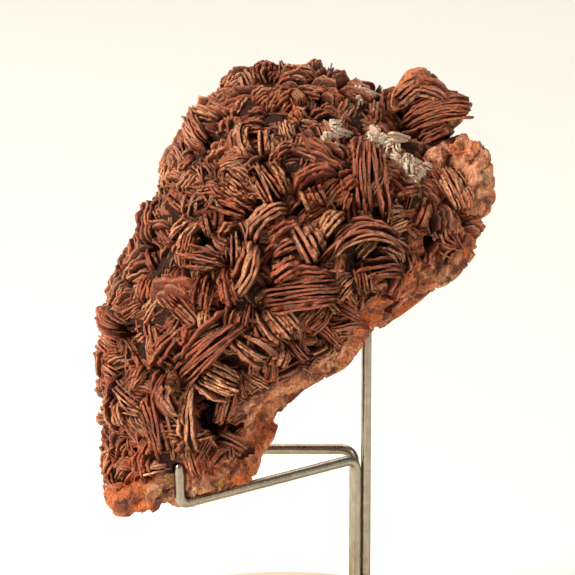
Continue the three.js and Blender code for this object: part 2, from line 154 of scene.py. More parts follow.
# Crested barite: mauve-brown blade faces, orange to beige rims, a painted shade that darkens them towards
# their roots and in the pits, cream where fresh, and light specks that are painted glints. It lets a little
# light through, and is waxy except where the painted shade lies between the books. Patterns are counted per
# millimetre.
bladeLook = {
    "face": "#7a3f24", "faceMauve": "#6f3d31", "faceRed": "#94401f", "rim": "#d3946b", "rimOrange": "#c06238",
    "paintedShade": "#240b03", "cream": "#fff0d8", "creamDark": "#f2a274",
    "grainPerMm": 1 / 0.6, "glintPerMm": 2.4, "coarsePerMm": 0.75, "patchPerMm": 0.4, "tintPerMm": 0.11,
    "cloudPerMm": 0.07,
    "laminae": (0.3, 0.6, 2.6), "shine": 0.42, "throughMm": 1.8,
}


def bladeMaterial():
    look = bladeLook
    m = newMaterial("barite_blades")
    perMm = scaled(m, node(m, "ShaderNodeTexCoord").outputs["Object"], (1000, 1000, 1000))
    local = attribute(m, "local").outputs["Vector"]
    tone, depth, fresh, rimness = (attribute(m, name).outputs["Fac"]
                                   for name in ("tone", "depth", "cream", "rimness"))
    grain = noiseTexture(m, perMm, look["grainPerMm"], 5, 0.7)
    patch = noiseTexture(m, perMm, look["patchPerMm"], 4)
    lamina = noiseTexture(m, scaled(m, local, look["laminae"]), 1.0, 3, 0.6)
    face = mixColour(m, spread(m, tone, 0.35, 0.75), srgb(look["face"]), srgb(look["faceMauve"]))
    cloud = noiseTexture(m, perMm, look["cloudPerMm"], 3)
    face = mixColour(m, spread(m, cloud, 0.48, 0.62), face, srgb(look["faceRed"]))
    toneHere = combined(m, "ADD", tone, combined(m, "SUBTRACT", patch, 0.5))
    edge = mixColour(m, spread(m, toneHere, 0.25, 0.6), srgb(look["rim"]), srgb(look["rimOrange"]))
    uneven = combined(m, "MULTIPLY", combined(m, "SUBTRACT", grain, 0.5), 0.9)
    colour = mixColour(m, spread(m, combined(m, "ADD", rimness, uneven), 0.55, 1.05), face, edge)
    colour = varied(m, colour, lamina, 0.7, 1.2)
    colour = varied(m, colour, grain, 0.6, 1.35)
    # Painted glints: small light specks in the rim colour.
    paintedGlints = spread(m, noiseTexture(m, perMm, look["glintPerMm"], 2, 0.5), 0.66, 0.72)
    colour = mixColour(m, combined(m, "MULTIPLY", paintedGlints, 0.6), colour, srgb(look["rim"]))
    colour = varied(m, colour, patch, 0.75, 1.2)
    colour = varied(m, colour, noiseTexture(m, perMm, look["tintPerMm"], 3), 0.65, 1.35)
    colour = varied(m, colour, tone, 1.2, 0.85)
    # Painted shade in the recesses: the blades darken from the crest down to the roots and in the pits, and
    # lose their shine there.
    recessShade = spread(m, depth, 0.22, 0.85)
    colour = mixColour(m, recessShade, colour, srgb(look["paintedShade"]))
    cream = mixColour(m, spread(m, grain, 0.3, 0.6), srgb(look["creamDark"]), srgb(look["cream"]))
    colour = mixColour(m, fresh, colour, cream)
    shine = combined(m, "MULTIPLY", combined(m, "SUBTRACT", 1.0, recessShade), look["shine"])
    rough = spread(m, grain, 0.3, 0.7, 0.3, 0.6)
    coarse = noiseTexture(m, perMm, look["coarsePerMm"], 3, 0.6)
    normal = bump(m, grain, 0.0007, 1.0, bump(m, coarse, 0.0012, 0.8, bump(m, lamina, 0.0005, 0.9)))
    return finishMaterial(m, Base_Color=colour, Roughness=rough, Normal=normal, IOR=1.64,
                          Specular_IOR_Level=shine, Subsurface_Weight=0.25, Subsurface_Radius=(1.0, 0.4, 0.2),
                          Subsurface_Scale=look["throughMm"] * mm)


# Massive barite under the crystals and round the back: orange to salmon with mauve and ochre spots, dull,
# with fibres that run with the band. Where crystals cover it, it gets a painted shade. Patterns are counted
# per millimetre.
massiveLook = {
    "orange": "#c66a3c", "salmon": "#dca27a", "mauve": "#7a4a3a", "ochre": "#b98a34", "paintedShade": "#220d06",
    "underShadeGrain": "#4d2716", "orangePerMm": 0.08, "mauvePerMm": 0.22, "ochrePerMm": 0.16,
    "grainPerMm": 1.6, "fibrePerMm": (1.4, 0.9, 0.26), "fibreTurn": (0, math.radians(-33), 0),
}


def massiveMaterial():
    look = massiveLook
    m = newMaterial("massive_barite")
    here = node(m, "ShaderNodeTexCoord").outputs["Object"]
    perMm = scaled(m, here, (1000, 1000, 1000))
    grain = noiseTexture(m, perMm, look["grainPerMm"], 5, 0.7)
    fibreScale = tuple(1000 * count for count in look["fibrePerMm"])
    along = node(m, "ShaderNodeMapping", Vector=here, Rotation=look["fibreTurn"], Scale=fibreScale)
    fibres = noiseTexture(m, along.outputs[0], 1.0, 5, 0.65, 0.8)
    salmon = spread(m, noiseTexture(m, perMm, look["orangePerMm"], 4), 0.42, 0.62)
    mauve = spread(m, noiseTexture(m, perMm, look["mauvePerMm"], 5), 0.48, 0.6)
    ochre = spread(m, noiseTexture(m, perMm, look["ochrePerMm"], 5, 0.6), 0.62, 0.7)
    colour = mixColour(m, salmon, srgb(look["orange"]), srgb(look["salmon"]))
    colour = mixColour(m, mauve, colour, srgb(look["mauve"]))
    colour = mixColour(m, ochre, colour, srgb(look["ochre"]))
    colour = varied(m, colour, fibres, 0.5, 1.55)
    colour = varied(m, colour, grain, 0.5, 1.5)
    # Painted shade where the crystals cover it, with a lighter grain in it.
    underShade = mixColour(m, spread(m, grain, 0.45, 0.6), srgb(look["paintedShade"]), srgb(look["underShadeGrain"]))
    colour = mixColour(m, attribute(m, "bare").outputs["Fac"], underShade, colour)
    normal = bump(m, grain, 0.0004, 0.9, bump(m, fibres, 0.0007, 0.9))
    return finishMaterial(m, Base_Color=colour, Roughness=0.8, Normal=normal, IOR=1.64,
                          Specular_IOR_Level=0.18)


# Drawn stainless wire with a warm tint: a dull polish, fine lengthwise scratches and faint stains. The
# scratches are drawn coarser than real ones, or they wouldn't show. Patterns are counted per millimetre.
wireLook = {"dark": "#9c9280", "light": "#b3aa9a", "scratchPerMm": (3, 3, 0.12), "stainPerMm": 0.3}


def wireMaterial():
    look = wireLook
    m = newMaterial("stainless_wire")
    here = node(m, "ShaderNodeTexCoord").outputs["Object"]
    scratchScale = tuple(1000 * count for count in look["scratchPerMm"])
    scratches = noiseTexture(m, scaled(m, here, scratchScale), 1.0, 3)
    stains = noiseTexture(m, scaled(m, here, (1000, 1000, 1000)), look["stainPerMm"], 4)
    colour = ramp(m, stains, [(0.35, look["dark"]), (0.7, look["light"])])
    return finishMaterial(m, Base_Color=colour, Roughness=ramp(m, scratches, [(0.3, 0.2), (0.7, 0.34)]),
                          Metallic=1.0, Normal=bump(m, scratches, 0.00003, 0.6))


# Pale maple, sanded and waxed: growth rings along the board and fine pores, counted per millimetre.
woodLook = {"early": "#f2e6cf", "late": "#ecd9b8", "ringLine": "#dcc096", "pore": "#d9bf98",
            "fleck": "#fff3df", "ringPerMm": (0.006, 0.06, 0.11), "fibrePerMm": (0.06, 0.9, 0.9),
            "rings": 7.0}


def woodMaterial():
    look = woodLook
    m = newMaterial("waxed_maple")
    here = node(m, "ShaderNodeTexCoord").outputs["Object"]
    ringScale = tuple(1000 * count for count in look["ringPerMm"])
    fibreScale = tuple(1000 * count for count in look["fibrePerMm"])
    rings = noiseTexture(m, scaled(m, here, ringScale), 1.0, 3, 0.5, 0.8)
    fibre = noiseTexture(m, scaled(m, here, fibreScale), 1.0, 5, 0.6)
    ringLines = combined(m, "FRACT", combined(m, "MULTIPLY", rings, look["rings"]))
    colour = ramp(m, ringLines, [(0.0, look["early"]), (0.8, look["late"]), (0.97, look["ringLine"])])
    pores = ramp(m, fibre, [(0.3, look["pore"]), (0.65, look["fleck"])])
    colour = mixColour(m, 0.35, colour, pores, "MULTIPLY")
    return finishMaterial(m, Base_Color=colour, Roughness=0.42, Normal=bump(m, fibre, 0.00008, 0.5), IOR=1.5,
                          Coat_Weight=0.15, Coat_Roughness=0.3)


# Wires

# Millimetres: the wire, its bends, how far a hook rises and where the wires end in the foot.
wireSizes = {"radius": 1.5, "sides": 32, "bendSteps": 10, "shoulder": 4.5, "hook": 3.4, "rise": 11,
             "socketFloor": 5.3, "clear": 0.35}
armHeight = 68.5
wireRoutes = {
    "back_post": [(24.4, 8, wireSizes["socketFloor"]), (24.4, 8, 118)],
    "front_arm": [(21.5, 6.4, wireSizes["socketFloor"]), (21.5, 6.4, armHeight), (-29.5, -36.8, armHeight),
                  (-29.5, -36.8, armHeight + wireSizes["rise"])],
    "rear_arm": [(21, 9.9, wireSizes["socketFloor"]), (21, 9.9, armHeight + 1.8),
                 (-43.3, 9.9, armHeight + 1.8), (-43.3, 9.9, armHeight + 1.8 + wireSizes["rise"])],
}


# Straight runs with a rounded corner at each inner point.
def roundedRoute(corners, radii, steps):
    points = [Vector(corners[0])]
    for i, radius in enumerate(radii):
        corner = Vector(corners[i + 1])
        before = (Vector(corners[i]) - corner).normalized()
        after = (Vector(corners[i + 2]) - corner).normalized()
        reach = radius / math.tan(before.angle(after) / 2)
        a, b = corner + before * reach, corner + after * reach
        for k in range(steps + 1):
            t = k / steps
            points.append(a * (1 - t) ** 2 + corner * 2 * t * (1 - t) + b * t * t)
    points.append(Vector(corners[-1]))
    return points


# A circle extruded along the route and closed by a domed end.
def wireMesh(points, radius, sides):
    bm = bmesh.new()
    across = Vector((0.36, 0.93, 0.02))
    dome = [(math.sin(a) * radius, math.cos(a)) for a in (0.35, 0.7, 1.05, 1.4)]
    rings = [(p, 1.0) for p in points]
    rings += [(points[-1] + (points[-1] - points[-2]).normalized() * rise, scale) for rise, scale in dome]
    loop = bmesh.ops.create_circle(bm, segments=sides, radius=1.0, cap_ends=True)["verts"]
    for i, (p, scale) in enumerate(rings):
        ahead = rings[min(i + 1, len(rings) - 1)][0]
        behind = rings[max(i - 1, 0)][0]
        forward = (ahead - behind).normalized()
        across = (across - forward * across.dot(forward)).normalized()
        other = forward.cross(across)
        if i:
            edges = [e for e in bm.edges if e.verts[0] in loop and e.verts[1] in loop]
            made = bmesh.ops.extrude_edge_only(bm, edges=edges)["geom"]
            new = [g for g in made if isinstance(g, bmesh.types.BMVert)]
            loop = [next(e.other_vert(v) for e in v.link_edges if e.other_vert(v) in new) for v in loop]
        for k, v in enumerate(loop):
            a = 2 * math.pi * k / sides
            v.co = (p + (across * math.cos(a) + other * math.sin(a)) * radius * scale) * mm
    bmesh.ops.contextual_create(bm, geom=loop)
    bmesh.ops.recalc_face_normals(bm, faces=bm.faces)
    return bm


def addObject(name, bm, material, smoothAngle=0.6):
    mesh = bpy.data.meshes.new(name)
    bm.to_mesh(mesh)
    bm.free()
    return addMesh(name, mesh, material, smoothAngle)


def addMesh(name, mesh, material, smoothAngle=0.6):
    mesh.materials.append(material)
    mesh.shade_smooth()
    mesh.set_sharp_from_angle(angle=smoothAngle)
    made = bpy.data.objects.new(name, mesh)
    bpy.context.scene.collection.objects.link(made)
    return made


# Puts a piece in the place of a CAD node.
def place(piece, cadNode):
    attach(piece, "root")
    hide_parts(cadNode)


def addWires(material):
    for name, corners in wireRoutes.items():
        radii = [wireSizes["shoulder"], wireSizes["hook"]][: len(corners) - 2]
        route = roundedRoute(corners, radii, wireSizes["bendSteps"])
        bm = wireMesh(route, wireSizes["radius"], wireSizes["sides"])
        place(addObject(name + "_wire", bm, material), name)


# Foot

# Millimetres: the disc, its lower and upper edge, and the sockets for the wires.
footSizes = {"radius": 58, "height": 16, "lowEdge": 1.5, "crown": 3, "socketDepth": 11, "socket": 1.8,
             "steps": 128}


def addFoot(material):
    size = footSizes
    r, h, e, c = size["radius"], size["height"], size["lowEdge"], size["crown"]
    profile = [(0, 0), (r - e, 0), (r - 0.3 * e, 0.3 * e), (r, e), (r, h - c)]
    profile += [(r - c + c * math.cos(a), h - c + c * math.sin(a)) for a in (0.4, 0.8, 1.2)]
    profile += [(r - c, h), (0, h)]
    bm = bmesh.new()
    verts = [bm.verts.new((x * mm, 0, z * mm)) for x, z in profile]
    edges = [bm.edges.new(pair) for pair in zip(verts, verts[1:])]
    bmesh.ops.spin(bm, geom=verts + edges, axis=(0, 0, 1), cent=(0, 0, 0), angle=2 * math.pi,
                   steps=size["steps"])
    bmesh.ops.remove_doubles(bm, verts=bm.verts, dist=1e-6)
    bmesh.ops.recalc_face_normals(bm, faces=bm.faces)
    foot = addObject("turned_foot", bm, material)
    drillSockets(foot, material)
    place(foot, "foot")


def drillSockets(foot, material):
    size = footSizes
    drill = bmesh.new()
    for corners in wireRoutes.values():
        x, y = corners[0][0], corners[0][1]
        where = Matrix.Translation(Vector((x, y, size["height"])) * mm)
        bmesh.ops.create_cone(drill, cap_ends=True, segments=32, radius1=size["socket"] * mm,
                              radius2=size["socket"] * mm, depth=2 * size["socketDepth"] * mm, matrix=where)
    cutter = addObject("socket_drill", drill, material)
    cut = foot.modifiers.new("sockets", "BOOLEAN")
    cut.object = cutter
    cut.operation = "DIFFERENCE"
    cut.use_self = True
    applyModifiers(foot)
    bpy.data.objects.remove(cutter)
    foot.data.set_sharp_from_angle(angle=0.6)


def applyModifiers(piece):
    bpy.context.view_layer.update()
    evaluated = piece.evaluated_get(bpy.context.evaluated_depsgraph_get())
    mesh = bpy.data.meshes.new_from_object(evaluated)
    old = piece.data
    piece.modifiers.clear()
    piece.data = mesh
    bpy.data.meshes.remove(old)


# Stone: the slab of massive barite under the crystals

# Height w, left and right edge, front and back face.
sections = [
  [-63, -50, -38, -21, -15],
  [-60, -51, -22, -22, -10],
  [-55, -49, -13, -23, 6],
  [-49, -50.1, -9, -25, 18],
  [-43, -50.1, -6, -28, 20],
  [-35.5, -51.1, -5, -31, 19],
  [-28.5, -51.6, 3, -34, 17],
  [-22, -50.1, 16, -36, 14],
  [-14, -50.1, 22, -39, 11],
  [-6.5, -49.1, 31.8, -40, 9],
  [1, -47.1, 40.8, -41, 9],
  [8, -45.1, 47, -41, 10],
  [18, -39.6, 50.5, -41, 11.5],
  [28.5, -34.1, 46, -40, 11],
  [37, -29.6, 40, -37, 10],
  [44, -27.6, 36, -32, 9],
  [51.5, -22.5, 32, -25, 6],
  [57.5, -16, 18, -19, 2],
  [61, -9, 9, -15, -3],
]

# Broken blocks that stand out of the slab: outline in the picture plane, front and back face, chamfer.
blocks = [
  ([[31, 44], [30, 53], [36.3, 62.5], [42.5, 59], [45.5, 55.5], [50, 52], [50.5, 49.5], [46, 46.5],
      [42, 42]], [-20, -5], 2.2),
  ([[38, 36], [43, 39], [47.6, 41.4], [51.5, 43], [55.4, 38.8], [57, 36.6], [56.3, 32.7], [57.6, 27.8],
      [57, 23], [54, 20.4], [49, 22.3], [44, 24.5], [38, 27]], [-31, -13], 3),
  ([[-31, -50], [-9.5, -45], [-9, -51.5], [-14, -56.5], [-28, -59.5]], [-20, 8], 2),
  ([[-52, -57], [-34, -55], [-33, -61], [-40, -63.5], [-50, -63.5]], [-25, -6], 2),
  ([[40, 20], [54.5, 20], [53.5, 13.4], [50.8, 7.2], [46.8, 3.5], [42.5, 0.7], [34, -1]], [-29, 2], 3),
]

bareSide = np.array(Vector((0.6, 0.62, -0.5)).normalized())  # no crystals grow on this side
bareReach = 0.12
viewDistance = 1100
slab = {"around": 96, "rings": 150, "voxelMm": 0.65}
alongBand = Vector((0.55, 0, 0.83))  # the band of massive barite at the lower right edge
acrossBand = Vector((0.83, 0, -0.55))
bendShifts = [Vector((0, 0, 0)), Vector((31.4, 17.2, 5.9)), Vector((-12.7, 43.1, 22.8))]

# Hollows between the books: where they open (u, w), their radius and depth.
pits = [
    [11.5, 52, 6, 8],
    [15.5, 17.5, 6.5, 10],
    [43.5, 14.5, 6, 9],
    [25, 8.5, 6.5, 9],
    [9.5, -11, 7, 9],
    [-20.5, -38, 8, 10],
    [-22.5, -29, 5, 8],
    [7, 23.5, 4.5, 6],
    [33.5, 46, 5, 7],
    [-24, 13, 4.5, 6],
    [-17, 8, 4, 6],
]


def inPit(p):
    return p.y < 0 and any(math.hypot(p.x - u, p.z - w) < 0.8 * radius for u, w, radius, depth in pits)


# Where the massive barite shows at the front (u, w): the band along the lower right edge and the foot.
bareZone = [
    [22, -13],
    [4, -25],
    [-11, -30],
    [-12.5, -46],
    [-20, -50],
    [-31, -53],
    [-60, -54],
    [-60, -70],
    [30, -70],
]


def inBareZone(p):
    if p.z < -55:
        return True
    inside = False
    for (u1, w1), (u2, w2) in zip(bareZone, bareZone[1:] + bareZone[:1]):
        if (w1 > p.z) != (w2 > p.z) and p.x < u1 + (p.z - w1) * (u2 - u1) / (w2 - w1):
            inside = not inside
    return inside and p.y < 0


def sectionAt(w):
    high = next((i for i, s in enumerate(sections) if s[0] >= w), len(sections) - 1)
    high = max(1, high)
    a, b = sections[high - 1], sections[high]
    t = clamp((w - a[0]) / (b[0] - a[0]), 0, 1)
    left, right, front, back = (lerp(a[k], b[k], t) for k in (1, 2, 3, 4))
    return (left + right) / 2, (front + back) / 2, (right - left) / 2, (back - front) / 2


def slabPoint(w, angle):
    u, v, halfWidth, halfDepth = sectionAt(w)
    lump = 1 + 0.035 * math.sin(3 * angle + 0.13 * w) + 0.025 * math.sin(5 * angle - 0.21 * w)

    def square(x):
        return math.copysign(abs(x) ** 0.85, x)

    across = u + halfWidth * lump * square(math.cos(angle))
    return Vector((across, v + halfDepth * lump * square(math.sin(angle)), w))


def slabNormal(w, angle):
    around = slabPoint(w, angle + 0.05) - slabPoint(w, angle - 0.05)
    up = slabPoint(w + 3, angle) - slabPoint(w - 3, angle)
    return around.cross(up).normalized()


# Flat facets of one size, each with its own slope.
def facetHeight(p, size, slope):
    seed = noise.voronoi(p / size)[1][0] * size
    return slope * (p - seed).dot(noise.cell_vector(seed * 7.3) - Vector((0.5, 0.5, 0.5)))


# A broken rock face in millimetres along the surface's normal: facets of two sizes, ridges along the band
# and fine breaks.
def rockHeight(p):
    bent = p + Vector([noise.noise(p * 0.25 + shift) for shift in bendShifts]) * 0.6
    facets = facetHeight(bent, 11.0, 0.6) + facetHeight(bent, 4.2, 0.45)
    ridges = noise.fractal(Vector((p.dot(acrossBand) * 0.7, p.y * 0.3, p.dot(alongBand) * 0.1)), 0.8, 2.0, 3)
    fine = noise.fractal(p * 0.9, 0.8, 2.0, 3) * 0.2
    return clamp(facets + 0.9 * ridges + fine, -1.8, 1.4)


# A sphere's rings drawn out to the sections of the slab.
def slabMesh():
    bm = bmesh.new()
    bmesh.ops.create_uvsphere(bm, u_segments=slab["around"], v_segments=slab["rings"], radius=1.0)
    low, high = sections[0][0], sections[-1][0]
    for v in bm.verts:
        angle = math.atan2(v.co.y, v.co.x)
        level = math.asin(clamp(v.co.z, -1, 1)) / (math.pi / 2)
        w = lerp(low, high, (level + 1) / 2)
        out = math.sqrt(max(0.0, 1 - abs(level) ** 40))
        u0, v0 = sectionAt(w)[:2]
        p = slabPoint(w, angle)
        v.co = Vector((u0, v0, w)).lerp(p, out)
    return bm


def addBlock(bm, outline, faces, chamfer):
    front, back = faces
    made = bmesh.new()
    verts = [made.verts.new((u, back, w)) for u, w in outline]
    face = made.faces.new(verts)
    extruded = bmesh.ops.extrude_face_region(made, geom=[face])["geom"]
    for v in (g for g in extruded if isinstance(g, bmesh.types.BMVert)):
        v.co.y = front
    bmesh.ops.bevel(made, geom=list(made.edges), offset=chamfer, offset_type="OFFSET", segments=1,
                    profile=0.5, affect="EDGES", material=-1)
    bmesh.ops.recalc_face_normals(made, faces=made.faces)
    mesh = bpy.data.meshes.new("block")
    made.to_mesh(mesh)
    made.free()
    bm.from_mesh(mesh)
    bpy.data.meshes.remove(mesh)


# Distance of each point from the nearest wire's centre line, and the direction away from it, in world mm.
def awayFromWires(points):
    nearest = np.full(len(points), 1e9)
    direction = np.zeros_like(points)
    for corners in wireRoutes.values():
        for a, b in zip(corners, corners[1:]):
            a, b = np.array(a, float), np.array(b, float)
            along = np.clip(((points - a) @ (b - a)) / ((b - a) @ (b - a)), 0, 1)
            off = points - (a + along[:, None] * (b - a))
            distance = np.linalg.norm(off, axis=1)
            closer = distance < nearest
            nearest[closer] = distance[closer]
            direction[closer] = off[closer] / np.maximum(distance[closer], 1e-6)[:, None]
    return nearest, direction


wireGap = wireSizes["radius"] + wireSizes["clear"]


# The depth at which each point would stand just behind the front arm, or far off where it doesn't cover it.
def behindFrontArm(points):
    corners = wireRoutes["front_arm"][1:]
    limit = np.full(len(points), -1e9)
    for a, b in zip(corners, corners[1:]):
        a, b = np.array(a, float), np.array(b, float)
        flatA, flatRun = a[[0, 2]], (b - a)[[0, 2]]
        along = np.clip(((points[:, [0, 2]] - flatA) @ flatRun) / (flatRun @ flatRun), 0, 1)
        nearest = a + along[:, None] * (b - a)
        aside = np.linalg.norm(points[:, [0, 2]] - nearest[:, [0, 2]], axis=1)
        ahead = points[:, 1] - nearest[:, 1]
        covers = (aside < wireGap) & (ahead < wireGap) & (ahead > -14)
        back = nearest[:, 1] + np.sqrt(np.maximum(0, wireGap ** 2 - aside ** 2))
        limit = np.maximum(limit, np.where(covers, back, -1e9))
    return limit


# The slab and the blocks as one skin, still in the stone's own frame.
def joinedStone():
    bm = slabMesh()
    for block in blocks:
        addBlock(bm, *block)
    bmesh.ops.recalc_face_normals(bm, faces=bm.faces)
    mesh = bpy.data.meshes.new("massive_barite")
    bm.to_mesh(mesh)
    bm.free()
    piece = bpy.data.objects.new("massive_barite", mesh)
    bpy.context.scene.collection.objects.link(piece)
    remesh = piece.modifiers.new("join", "REMESH")
    remesh.mode = "VOXEL"
    remesh.voxel_size = slab["voxelMm"]
    applyModifiers(piece)
    return piece


# How far each point lies bare of crystals, from 0 to 1: on the bare side, on a block or in the bare zone.
def barenessOf(points, normals):
    bareness = np.clip((normals @ bareSide - bareReach + 0.18) / 0.3, 0, 1)
    for outline, (front, back), chamfer in blocks:
        low, high = np.min(outline, axis=0), np.max(outline, axis=0)
        flat = points[:, [0, 2]]
        bareness[((flat > low) & (flat < high)).all(axis=1) & (points[:, 1] < back)] = 1
    return np.maximum(bareness, [inBareZone(Vector(p)) for p in points])


# Rock relief, then the pits, then room for the wires; gives world millimetres.
def carved(points, normals, bareness):
    height = np.array([rockHeight(Vector(p)) for p in points])
    points = points + normals * (height * (0.6 + 0.6 * bareness))[:, None]
    for u, w, radius, depth in pits:
        off = (points[:, 0] - u) ** 2 + (points[:, 2] - w) ** 2
        points[:, 1] += depth * np.sqrt(np.clip(1 - off / radius ** 2, 0, 1) * (points[:, 1] < 0))
    world = points @ tiltArray.T + middle
    distance, direction = awayFromWires(world)
    world = world + direction * np.maximum(0, wireGap - distance)[:, None]
    world[:, 1] = np.maximum(world[:, 1], behindFrontArm(world))
    return world


def addMassive(material):
    piece = joinedStone()
    mesh = piece.data
    points, normals = np.empty(len(mesh.vertices) * 3), np.empty(len(mesh.vertices) * 3)
    mesh.vertices.foreach_get("co", points)
    mesh.vertices.foreach_get("normal", normals)
    points, normals = points.reshape(-1, 3), normals.reshape(-1, 3)
    bareness = barenessOf(points, normals)
    mesh.vertices.foreach_set("co", (carved(points, normals, bareness) * mm).ravel())
    mesh.attributes.new("bare", "FLOAT", "POINT").data.foreach_set("value", bareness)
    mesh.update()
    mesh.materials.clear()
    mesh.materials.append(material)
    mesh.shade_smooth()
    mesh.set_sharp_from_angle(angle=1.2)
    place(piece, "barite")


# Stone: books of crested blades

